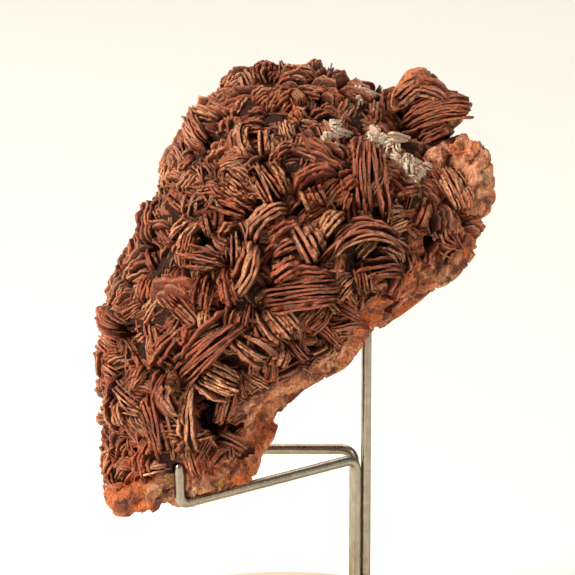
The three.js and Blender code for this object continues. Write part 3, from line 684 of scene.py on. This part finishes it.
# Seen from the front: where the middle rim shows (u, w), the direction of the rims and their length, how many
# blades, their spacing, how far the blades are turned face-on, and how much the rims arch.
books = [
  # crown
  [-9, 64.5, 5, 13, 3, 1.8, 0, 0.05],
  [3, 64, -5, 12, 3, 1.8, 0, 0.05],
  [-17.5, 61, 48, 10, 3, 1.8, 0, 0.1],
  [13, 61.5, -22, 12, 3, 1.8, 0, 0.05],
  [-10.5, 63, 45, 8, 2, 2, 40, 0.1],
  [-6.5, 65.5, 92, 5, 3, 1.6, 0, 0],
  [-21, 56.5, 41, 16, 3, 1.9, 35, 0.2],
  [-24.5, 49.5, 44, 13, 2, 2.2, 25, 0.1],
  [-29, 43, 42, 10, 2, 2.4, -25, 0.1],
  [-18, 47.5, 84, 10, 3, 2.3, 10, 0],
  [-13.5, 53.5, 74, 10, 3, 2, -10, 0],
  [-7, 57, 18, 12, 2, 2.4, 15, 0.2],
  [-3, 55.5, 50, 14, 4, 1.6, 10, 0],
  [2, 64, 3, 14, 3, 1.8, 20, 0.25],
  [11, 60, 8, 19, 3, 1.6, 20, 0.45],
  [11.5, 53, 5, 14, 2, 2, 15, 0.45],
  [2.5, 50.5, -38, 9, 2, 2.6, 0, 0],
  [16, 58, -28, 13, 2, 2, 20, 0],
  [23, 52, -78, 11, 4, 2, 0, 0.1],
  [27.5, 52.5, -48, 15, 2, 2.2, 10, 0],
  [-22.5, 42, 35, 13, 2, 2.4, 60, 0.1],
  [-23.5, 36, -50, 14, 5, 1.5, 20, 0],
  [-12, 44, 104, 15, 2, 2.4, -45, 0.3],
  [-6.5, 43, -82, 11, 3, 1.8, 15, 0],
  [-15, 32.5, -40, 14, 6, 1.5, 10, 0],
  [-30.5, 37.5, 100, 9, 2, 2, 50, 0],
  [-32, 34, 14, 10, 2, 2, 10, 0.1],
  [-24, 30.5, -9, 18, 2, 2, 15, 0.1],
  # middle band
  [-5, 31.5, -58, 17, 6, 1.6, 5, 0],
  [9.5, 41, -35, 21, 6, 1.6, 10, 0],
  [-1, 40.5, 18, 13, 2, 1.8, 10, 0.35],
  [8.5, 33.5, 22, 18, 2, 1.8, 20, 0.3],
  [17.5, 32, 40, 9, 2, 2.2, 15, 0.1],
  [18.5, 42, 82, 11, 2, 2.4, 50, 0],
  [24.5, 34, 91, 28, 6, 1.7, 5, 0.05],
  [29, 43, -42, 17, 3, 1.8, 30, 0.1],
  [32, 45.5, -32, 14, 2, 1.8, 20, 0.15],
  [34, 33.5, 70, 12, 2, 2.4, 60, 0.1],
  [35.5, 28, 18, 13, 2, 2, -10, 0.1],
  [35.5, 57, 40, 12, 3, 1.8, 0, 0.05],
  [42, 57.5, -14, 15, 3, 1.9, 25, 0.25],
  [43.5, 51.5, 17, 22, 5, 1.7, 15, 0.1],
  [42.5, 43.5, 18, 13, 4, 1.6, 10, 0],
  [-33, 27, 38, 12, 2, 2.4, 50, 0],
  [-38, 21, 60, 12, 2, 2.2, 20, 0.1],
  [-28.5, 24.5, 60, 7, 2, 2.4, 40, 0],
  [-16, 26, -24, 16, 5, 1.7, 10, 0],
  [-8, 21, 45, 18, 2, 2.4, 15, 0.15],
  [-2, 20, 32, 14, 2, 2.4, 25, 0.1],
  [-32, 15, 50, 22, 4, 1.5, 12, 0.08],
  [-26, 9, -12, 17, 4, 1.5, 10, 0],
  [-22, 19, -72, 8, 2, 2.2, 20, 0],
  [-18.5, 17.5, 36, 8, 2, 2, 15, 0],
  [-41, 13, -45, 7, 3, 2.2, 15, 0],
  [-47, 8, 62, 9, 2, 2.2, -20, 0.1],
  [-46.5, 1.5, -6, 8, 5, 1.3, 5, 0],
  [-45, -1.5, 38, 7, 2, 2, 40, 0],
  [-34, 4, 0, 18, 2, 2.4, 66, 0.08],
  [-13.5, 6, 66, 20, 2, 2.4, 20, -0.2],
  [-19.5, -1.5, -74, 13, 2, 2.4, -20, 0.1],
  [-24.5, -3, 78, 12, 4, 1.5, 0, 0],
  [-1, 15, 17, 18, 4, 1.9, 12, 0.08],
  [-1, 5.5, 33, 13, 2, 2.4, 20, 0.05],
  [5, 0, 3, 25, 8, 1.35, 6, 0.04],
  [7.5, 26.5, -62, 10, 3, 2, 0, 0],
  [12.5, 19, 46, 11, 2, 2.2, 15, 0.05],
  [6, 13.5, -64, 16, 3, 2.6, 0, 0],
  # right side
  [22.5, 14, 14, 32, 4, 1.7, 25, 0.4],
  [27.5, 5.5, 6, 17, 3, 1.8, 15, 0.1],
  [31.5, 10.5, -28, 9, 3, 1.6, 15, 0.1],
  [36, 6, -80, 11, 3, 1.6, 10, 0.1],
  [40, 7.5, 82, 9, 2, 2.2, 30, 0],
  [45.5, 18, -62, 12, 4, 2.2, 10, 0],
  [40, 21, 68, 11, 2, 2.4, 0, 0],
  [46, 10.5, 50, 8, 2, 2, 10, 0.1],
  [44.5, 34, -56, 12, 3, 1.5, 20, 0],
  [48.5, 30, -58, 14, 4, 1.5, 20, 0],
  [52.5, 27, -60, 10, 2, 1.6, 25, 0.1],
  [27.5, 1, 30, 6, 2, 2, 20, 0.2],
  [31.5, -4, 56, 12, 4, 1.6, 20, 0],
  # left side and foot of the slab
  [-51, -6, 70, 9, 3, 2.4, 35, 0.2],
  [-45.5, -9, 62, 13, 5, 1.7, 20, 0.3],
  [-44, -15, 32, 11, 3, 1.9, 10, 0],
  [-43, -21.5, -55, 10, 3, 2.2, 25, 0.1],
  [-37, -17, 47, 22, 2, 2, 15, 0.04],
  [-32, -13, 70, 9, 2, 2.2, 40, 0],
  [-34, -24, -5, 5, 2, 2, 60, 0],
  [-24, -18, 43, 28, 5, 1.7, 14, 0.03],
  [-10, -19, -38, 17, 4, 1.9, 10, 0],
  [-2.5, -21, 72, 8, 3, 2.4, 0, 0],
  [-2, -12, -55, 16, 5, 1.8, 5, 0],
  [8, -11, 58, 13, 5, 1.7, 5, 0],
  [15.5, -15.5, 20, 9, 3, 1.8, 20, 0],
  [-52, -24, -40, 10, 5, 2, 15, 0.1],
  [-48, -31, -30, 9, 3, 2, 20, 0.1],
  [-41, -41, -81, 26, 6, 1.8, 8, 0.05],
  [-33.5, -33, -68, 12, 2, 2, 40, -0.3],
  [-30, -38.5, 89, 26, 2, 2, 20, 0.05],
  [-34, -44.5, 42, 8, 2, 2, 35, 0.1],
  [-17, -36, 88, 18, 3, 1.6, 5, 0],
  [-20, -28, -28, 16, 5, 1.9, 5, 0],
  [-20.5, -32.5, -5, 7, 1, 2, 10, 0],
  [-20, -49, 40, 10, 2, 2.2, 40, 0.1],
  [-52, -40, 88, 10, 3, 2.2, 40, 0.2],
  [-50, -49.5, 35, 8, 3, 2.2, 30, 0.1],
]

# Smaller books that fill the room between them: how many places are tried, how far apart rims stay, lengths,
# how far they stand out, blades and spacing, greatest tilt, painted shade, leaves and the heights between
# which they grow.
filler = {"tries": 600, "apart": 7.6, "length": (9, 20), "rise": 6.4, "blades": 4, "spacing": 1.6,
          "tilt": 0.9, "dark": 0.04, "cells": "middle", "low": -52, "high": 61}
smallFill = {"tries": 3600, "apart": 3.2, "length": (7, 13), "rise": 4.2, "blades": 3, "spacing": 1.4,
             "tilt": 1.4, "dark": 0.14, "cells": "coarse", "low": -57, "high": 62}
carpet = {"tries": 5200, "apart": 1.6, "length": (6, 10), "rise": 1.8, "blades": 2, "spacing": 1.2,
          "tilt": 1.6, "dark": 0.32, "cells": "tiny", "low": -60, "high": 63}

# Cells along and up a leaf of each kind, how deep it is rooted, how many shapes there are and its roughness.
leaf = {"fine": (12, 4), "middle": (9, 3), "coarse": (7, 3), "tiny": (5, 2), "root": 6, "templates": 14,
        "rough": 0.13}
blockRise = 4.5
faceShare = 0.65
goldenAngle = 2.39996


# The front of the blocks that stand at u, w, if any.
def blockFront(u, w):
    fronts = [1e9]
    for outline, faces, chamfer in blocks:
        us, ws = [p[0] for p in outline], [p[1] for p in outline]
        if min(us) < u < max(us) and min(ws) < w < max(ws):
            fronts.append(faces[0])
    return min(fronts)


def listedBook(row):
    u, w, angle, length, blades, spacing, face, arch = row
    u0, v0, halfWidth, halfDepth = sectionAt(w)
    t = clamp((u - u0) / halfWidth, -1, 1)
    bulge = math.sqrt(1 - abs(t) ** 2.4)
    front = v0 - halfDepth * bulge
    normal = slabNormal(clamp(w, -58, 57), math.atan2(-bulge, t))
    onBlock = blockFront(u, w) < front
    if onBlock:
        front, bulge, normal = blockFront(u, w), 1, Vector((0, -1, 0))
    rise = min(blockRise if onBlock else 9, 4 + length * 0.35)
    v = front - rise * (0.3 + 0.7 * bulge)
    nearer = 1 + v / viewDistance
    out = (normal * 0.8 + Vector((0, -0.7, 0))).normalized()
    a = math.radians(angle)
    rim = Vector((math.cos(a), 0, math.sin(a)))
    rim = (rim - out * rim.dot(out)).normalized()
    out = Matrix.Rotation(math.radians(-faceShare * face), 3, rim) @ out
    # shade: how much of the painted shade at the roots a book gets, less when turned face-on; dark: painted
    # shade laid over all its leaves.
    return {"tip": Vector((u * nearer, v, w * nearer)), "rim": rim, "out": out, "length": length,
            "blades": blades, "spacing": spacing, "arch": arch, "rise": rise, "cells": "fine",
            "shade": 1 - min(0.8, abs(face) / 60), "dark": 0, "cream": 0}


def fillBook(i, fill, seed, reach):
    w = lerp(fill["low"], fill["high"], (i + 0.5) / fill["tries"])
    angle = i * goldenAngle
    normal = slabNormal(clamp(w, -57, 56), angle)
    if normal.dot(Vector(bareSide)) > reach:
        return None
    level = Vector((0, 0, 1)).cross(normal).normalized()
    rim = Matrix.Rotation(math.pi * chance(i, seed + 1), 3, normal) @ level
    out = Matrix.Rotation(fill["tilt"] * (chance(i, seed + 2) - 0.5), 3, rim) @ normal
    length = lerp(*fill["length"], chance(i, seed + 3))
    tip = slabPoint(w, angle) + out * fill["rise"]
    return {"tip": tip, "rim": rim, "out": out, "length": length, "blades": fill["blades"],
            "spacing": fill["spacing"], "arch": 0.14 * (chance(i, seed + 5) - 0.3), "rise": fill["rise"],
            "cells": fill["cells"], "shade": 1, "dark": fill["dark"], "cream": 0}


# Books of the fill that stand clear of the rims of those already there and of each other.
def scatter(fill, seed, reach, others):
    room = len(others) + fill["tries"]
    tips, rims, reaches = np.empty((room, 3)), np.empty((room, 3)), np.empty(room)
    kept = list(others)
    for n, book in enumerate(kept):
        tips[n], rims[n], reaches[n] = book["tip"], book["rim"], 0.4 * book["length"]
    for i in range(fill["tries"]):
        book = fillBook(i, fill, seed, reach)
        if not book or inBareZone(book["tip"]):
            continue
        if inPit(book["tip"]):
            if fill["rise"] > 3:
                continue
            # A book in a pit sinks deeper and gets a strong painted shade.
            book["tip"].y += 3.5
            book["dark"] = 0.7
        n = len(kept)
        off = np.array(book["tip"]) - tips[:n]
        along = np.clip((off * rims[:n]).sum(axis=1), -reaches[:n], reaches[:n])
        if n and np.linalg.norm(off - along[:, None] * rims[:n], axis=1).min() < fill["apart"]:
            continue
        tips[n], rims[n], reaches[n] = book["tip"], book["rim"], 0.4 * book["length"]
        kept.append(book)
    return kept


def allBooks():
    kept = [listedBook(row) for row in books]
    kept = scatter(filler, 0, bareReach, kept)
    kept = scatter(smallFill, 100, bareReach + 0.1, kept)
    return kept + scatter(carpet, 200, bareReach + 0.15, []) + creamBooks()


# A flat box of cells as arrays: its corners from -1 to 1 and its triangles.
def cellBox(cells):
    bm = bmesh.new()
    bmesh.ops.create_grid(bm, x_segments=cells[0], y_segments=cells[1], size=1.0)
    raised = bmesh.ops.extrude_face_region(bm, geom=list(bm.faces))["geom"]
    for v in bm.verts:
        v.co.z = -1
    for v in (g for g in raised if isinstance(g, bmesh.types.BMVert)):
        v.co.z = 1
    bmesh.ops.recalc_face_normals(bm, faces=bm.faces)
    bmesh.ops.triangulate(bm, faces=bm.faces)
    bm.verts.index_update()
    corners = np.array([v.co for v in bm.verts])
    triangles = np.array([[v.index for v in face.verts] for face in bm.faces], np.int32)
    bm.free()
    return corners, triangles


# One leaf of a book in unit size: t along the rim from -1 to 1, r from the root at 0 to the crest at 1, side
# across it from -1 to 1, closed all round, with a chipped outline.
def leafTemplate(seed, cells):
    corners, triangles = cellBox(cells)
    column = np.round((corners[:, 0] + 1) / 2 * cells[0]).astype(int)
    row = np.round((corners[:, 1] + 1) / 2 * cells[1]).astype(int)
    t = np.sign(corners[:, 0]) * np.abs(corners[:, 0]) ** 0.9
    r = 1 - (1 - (corners[:, 1] + 1) / 2) ** 1.5
    chips = np.array([chance(seed, 40 + k) for k in range(cells[0] + 1)])[column]
    notches = np.array([chance(seed, 70 + k) for k in range(cells[1] + 1)])[row]
    knots = [-1, -0.72, -0.3, 0.1, 0.5, 0.8, 1]
    lowest, highest = [0.1, 0.66, 0.8, 0.84, 0.8, 0.6, 0.1], [0.55, 1, 1, 1.04, 1, 1, 0.5]
    heights = [lerp(low, high, chance(seed, 20 + k)) for k, (low, high) in enumerate(zip(lowest, highest))]
    crest = np.interp(t, knots, heights) - 0.2 * chips ** 2
    width = (0.74 + 0.26 * np.clip(r * 1.5, 0, 1) ** 0.7) * (1 - 0.12 * notches)
    rimmed = (column == 0) | (column == cells[0]) | (row == cells[1])
    side = corners[:, 2] * np.where(rimmed, 0.7, 1.0) * (0.85 + 0.3 * chips)
    phase = chance(seed, 4) * 6.28
    wave = 0.2 * np.sin(2.2 * t + phase + 1.4 * r) + 0.3 * (notches - 0.5) + 0.3 * (chips - 0.5)
    return {"t": t * width, "r": r, "crest": crest, "side": side, "wave": wave, "rimmed": rimmed * 1.0,
            "triangles": triangles}


# The leaf in millimetres, arched along its rim and cupped towards its crest.
def leafPoints(template, length, rise, thick, arch, cup):
    x = template["t"] * length / 2
    y = -leaf["root"] + template["r"] * (template["crest"] * rise + leaf["root"])
    z = template["side"] * thick / 2 + template["wave"] * thick * 0.5
    z = z - arch * length * (0.35 - 0.7 * template["t"] ** 2) + cup * template["r"] ** 2
    return np.stack([x, y, z], axis=1)


# Fresh cream-coloured crystals stand on the crests: u, w, the radius of the patch and how many little books.
creamSpots = [(12.6, 44.5, 1.3, 5), (20.5, 56, 1.5, 5), (24.6, 43.6, 1.5, 6), (27.2, 41.2, 1.3, 5),
              (30.2, 38, 1.0, 3), (33.4, 35.6, 1.7, 8), (36.4, 33.6, 1.6, 7)]
creamBook = {"length": 3.8, "rise": 2.6, "blades": 2, "spacing": 1.5, "stand": 8.6}


def creamBooks():
    made = []
    for spot, (u, w, radius, count) in enumerate(creamSpots):
        for k in range(count):
            seed = 7000 + spot * 100 + k
            far, turn = radius * math.sqrt(chance(seed, 1)), 6.283 * chance(seed, 2)
            here = Vector((u + far * math.cos(turn), 0, w + far * math.sin(turn)))
            u0, v0, halfWidth, halfDepth = sectionAt(here.z)
            bulge = math.sqrt(max(0.05, 1 - abs(clamp((here.x - u0) / halfWidth, -1, 1)) ** 2.4))
            here.y = v0 - halfDepth * bulge - creamBook["stand"] + 1.5 * chance(seed, 3)
            out = Vector((0.9 * (chance(seed, 4) - 0.8), -0.8, 1.1 * (chance(seed, 5) - 0.1))).normalized()
            rim = out.cross(Vector((chance(seed, 6) - 0.5, 0.2, chance(seed, 7) - 0.5))).normalized()
            size = 0.7 + 0.6 * chance(seed, 8)
            # Cream books get little painted shade at their roots.
            made.append({"tip": here, "rim": rim, "out": out, "length": creamBook["length"] * size,
                         "blades": creamBook["blades"], "spacing": creamBook["spacing"], "arch": 0,
                         "rise": creamBook["rise"], "cells": "tiny", "shade": 0.3, "dark": 0, "cream": 1})
    return made


# A book is a stack of thin leaves; those of one plate keep together, and plates stand apart by a dark gap.
def bookLeaves(book, n, templates):
    width = book["blades"] * book["spacing"]
    pitch = clamp(book["spacing"] * lerp(0.36, 0.56, chance(n, 16)), 0.6, 1.2)
    count = max(2, round(width / pitch))
    made = []
    plate, inPlate = 0, 0
    for k in range(count):
        seed = n * 31 + k
        if inPlate > 0 and chance(seed, 15) < 0.38:
            plate, inPlate = plate + 1, 0
        inPlate += 1
        shared = n * 31 + plate * 5 + 900
        gap = 0.35 if inPlate == 1 else 0.0
        made.append(leafInPlace(book, n, seed, shared, k / (count - 1) - 0.5, gap, pitch, templates))
    return made


# One leaf of book n: seed is its own, shared that of its plate, and level its place in the stack, from -0.5
# to 0.5.
def leafInPlace(book, n, seed, shared, level, gap, pitch, templates):
    rim, out, length = book["rim"], book["out"], book["length"]
    stack = out.cross(rim)
    width = book["blades"] * book["spacing"]
    spreadFan = level * min(0.5, 0.07 * width)
    fan = spreadFan + 0.16 * (chance(shared, 1) - 0.5) + 0.06 * (chance(seed, 1) - 0.5)
    turn = 0.2 * (chance(shared, 2) - 0.5) + 0.13 * (chance(seed, 2) - 0.5)
    across = level * width - 0.8 * spreadFan * book["rise"] + gap
    share = min(1.0, 0.66 + 0.4 * chance(shared, 4) + 0.1 * chance(seed, 4)) * (1 - 0.35 * abs(level))
    drop = 2.2 * chance(shared, 5) ** 1.5 + 0.9 * chance(seed, 5) + 4.0 * level * level - 0.4
    slide = min(length, 14) * (0.14 * (chance(shared, 6) - 0.5) + 0.06 * (chance(seed, 6) - 0.5))
    thick = pitch * (0.85 + 0.4 * chance(seed, 7))
    template = templates[book["cells"]][int(chance(seed, 8) * leaf["templates"])]
    arch = book["arch"] * (0.85 + 0.3 * chance(shared, 9))
    local = leafPoints(template, length * share, book["rise"], thick, arch, chance(n, 14) - 0.5)
    outward = out * math.cos(fan) + stack * math.sin(fan)
    along = Matrix.Rotation(turn, 3, outward) @ rim
    base = book["tip"] - out * (book["rise"] + drop) + stack * across + rim * slide
    points = local @ np.array([along, outward, along.cross(outward)]) + np.array(base)
    points += leaf["rough"] * np.modf(np.sin(points[:, [1, 2, 0]] * 93.7 + points * 51.1) * 4375.5)[0]
    tone = clamp(0.5 * chance(n, 11) + 0.25 * chance(shared, 12) + 0.25 * chance(seed, 12), 0, 1)
    # Painted shade: darker the further below the crest, scaled by the book's shade, plus its dark.
    depth = np.clip((book["rise"] - local[:, 1]) / 6, 0, 1) * book["shade"] + book["dark"]
    return {"world": points @ tiltArray.T + middle, "height": points[:, 2].mean(), "local": local,
            "template": template, "tone": tone, "depth": depth,
            "cream": book["cream"] * (0.7 + 0.3 * chance(seed, 13))}


def clearOfWires(points):
    return awayFromWires(points)[0].min() > wireGap and behindFrontArm(points).max() < -1e8


# All leaves that keep clear of the wires, from the lowest up, in pieces of about as many triangles each.
def addBlades(material, pieces=6):
    templates = {kind: [leafTemplate(k, leaf[kind]) for k in range(leaf["templates"])]
                 for kind in ("fine", "middle", "coarse", "tiny")}
    found = allBooks()
    leaves = [made for n, book in enumerate(found) for made in bookLeaves(book, n, templates)]
    clear = [made for made in leaves if clearOfWires(made["world"])]
    clear.sort(key=lambda made: made["height"])
    counts = np.cumsum([len(made["template"]["triangles"]) for made in clear])
    print("books", len(found), "leaves", len(clear), "triangles", counts[-1])
    ends = [0] + [int(np.searchsorted(counts, counts[-1] * (g + 1) / pieces)) + 1 for g in range(pieces)]
    for g in range(pieces):
        addBladePiece(f"barite_blades_{g + 1}", clear[ends[g]:ends[g + 1]], material)


def addBladePiece(name, group, material):
    sizes = [len(made["world"]) for made in group]
    starts = np.cumsum([0] + sizes[:-1])
    points = np.concatenate([made["world"] for made in group]) * mm
    triangles = np.concatenate([made["template"]["triangles"] + start for made, start in zip(group, starts)])
    mesh = bpy.data.meshes.new(name)
    mesh.from_pydata(points, [], triangles)
    values = {
        "rimness": [made["template"]["rimmed"] for made in group],
        "depth": [made["depth"] for made in group],
        "tone": [np.full(size, made["tone"]) for made, size in zip(group, sizes)],
        "cream": [np.full(size, made["cream"]) for made, size in zip(group, sizes)],
    }
    for key, parts in values.items():
        mesh.attributes.new(key, "FLOAT", "POINT").data.foreach_set("value", np.concatenate(parts))
    local = np.concatenate([made["local"] for made in group])
    mesh.attributes.new("local", "FLOAT_VECTOR", "POINT").data.foreach_set("vector", local.ravel())
    mesh.update()
    print(name, len(triangles), "triangles")
    place(addMesh(name, mesh, material, 0.5), "barite")


# Floor, light and camera

# Colours, the floor's size in metres and the lights in watts.
studio = {"floor": "#fbf8f0", "floorShade": "#f9f7f0", "floorSize": 8.0, "light": "#fffaf3",
          "world": "#fdfcf8", "worldStrength": 0.2, "key": 43, "fill": 8, "top": 27}


def addFloor():
    m = newMaterial("paper_floor")
    here = node(m, "ShaderNodeTexCoord").outputs["Object"]
    fibre = noiseTexture(m, scaled(m, here, (60, 60, 60)), 1.0, 3)
    colour = ramp(m, fibre, [(0.3, studio["floorShade"]), (0.7, studio["floor"])])
    finishMaterial(m, Base_Color=colour, Roughness=0.8, Specular_IOR_Level=0.2)
    bm = bmesh.new()
    bmesh.ops.create_grid(bm, x_segments=8, y_segments=8, size=studio["floorSize"] / 2)
    floor = addObject("studio_floor", bm, m)


def addLight(name, energy, size, location, target, colour):
    light = bpy.data.lights.new(name, "AREA")
    light.energy = energy
    light.size = size
    light.color = colour
    made = bpy.data.objects.new(name, light)
    bpy.context.scene.collection.objects.link(made)
    made.location = location
    made.rotation_euler = (Vector(target) - Vector(location)).to_track_quat("-Z", "Y").to_euler()


def addStudio():
    world = bpy.data.worlds.new("studio")
    bpy.context.scene.world = world
    world.use_nodes = True
    background = world.node_tree.nodes["Background"]
    background.inputs[0].default_value = srgb(studio["world"])
    background.inputs[1].default_value = studio["worldStrength"]
    warm = srgb(studio["light"])[:3]
    addLight("key_softbox", studio["key"], 0.6, (-1.25, -0.62, 1.0), (0, 0, 0.12), warm)
    addLight("fill_softbox", studio["fill"], 0.7, (1.3, -0.8, 0.6), (0, 0, 0.12), warm)
    addLight("background_light", studio["top"], 2.0, (0, 1.6, 1.9), (0, 1.3, 0), warm)


# Looks down at the stone; one pixel of the 575 is 0.29 mm at its middle.
def addCamera():
    reach, pixelMm, size = viewDistance, 0.29, 575
    data = bpy.data.cameras.new("camera")
    data.sensor_width = 36
    data.lens = 36 * reach / (size * pixelMm)
    data.clip_start = 0.05
    data.clip_end = 50
    camera = bpy.data.objects.new("camera", data)
    bpy.context.scene.collection.objects.link(camera)
    a = stoneFrame["lookDown"]
    away = Vector((0, math.cos(a), -math.sin(a)))
    camera.location = (Vector(middle) - away * reach) * mm
    camera.rotation_euler = Euler((math.pi / 2 - a, 0, 0))
    bpy.context.scene.camera = camera


wire = wireMaterial()
addWires(wire)
addFoot(woodMaterial())
print("stand done")
addMassive(massiveMaterial())
print("massive barite done")
addBlades(bladeMaterial())
print("blades done")
addFloor()
addStudio()
addCamera()
scene = bpy.context.scene
scene.view_settings.view_transform = "Standard"
